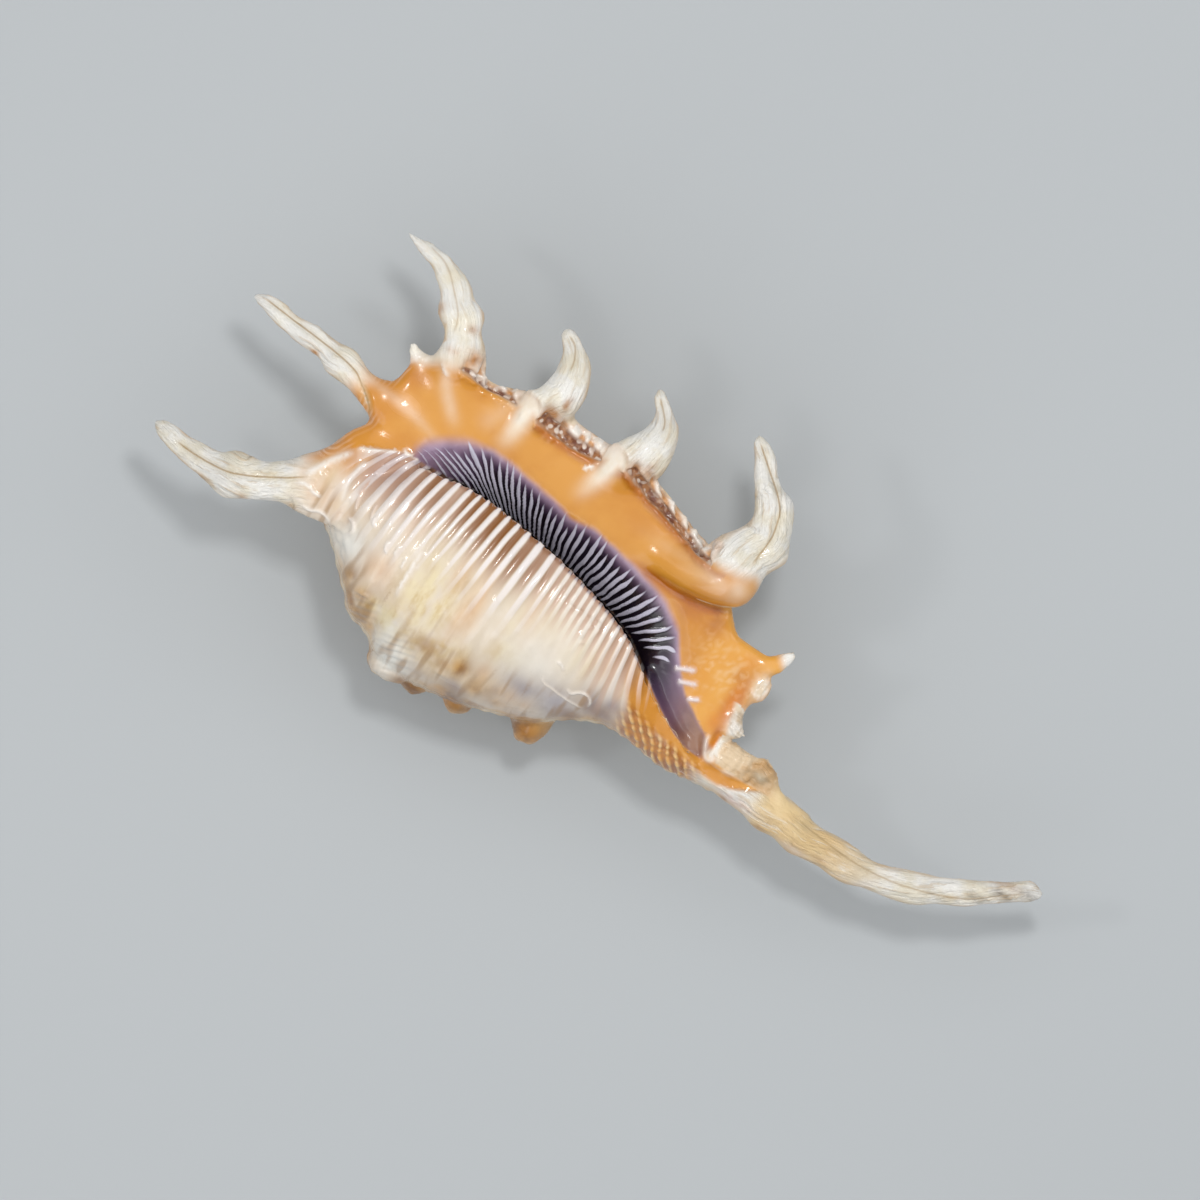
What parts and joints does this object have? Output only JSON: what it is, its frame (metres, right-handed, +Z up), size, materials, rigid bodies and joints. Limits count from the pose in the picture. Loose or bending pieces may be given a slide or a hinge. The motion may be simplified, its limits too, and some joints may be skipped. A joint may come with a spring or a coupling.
{
  "type": "scorpion conch shell",
  "caption": "Large spiny sea snail shell lying aperture up, with a flared outer lip, long curved hollow digits, a ridged narrow aperture and a long bent siphonal canal.",
  "frame": {"origin": "bottom centre of the shell's box, on the surface it rests on", "axes": "+X along the coil's axis, from the spire towards the siphonal canal; +Y towards the outer lip; +Z up, out of the aperture"},
  "size_m": [0.1607, 0.0647, 0.04],
  "materials": {
    "shell_glaze": "glazed aragonite, glossy orange and cream on the aperture's side, duller cream and brown on the back"
  },
  "bodies": {
    "root": {"scorpion_conch_shell": "shell_glaze"}
  },
  "joints": []
}
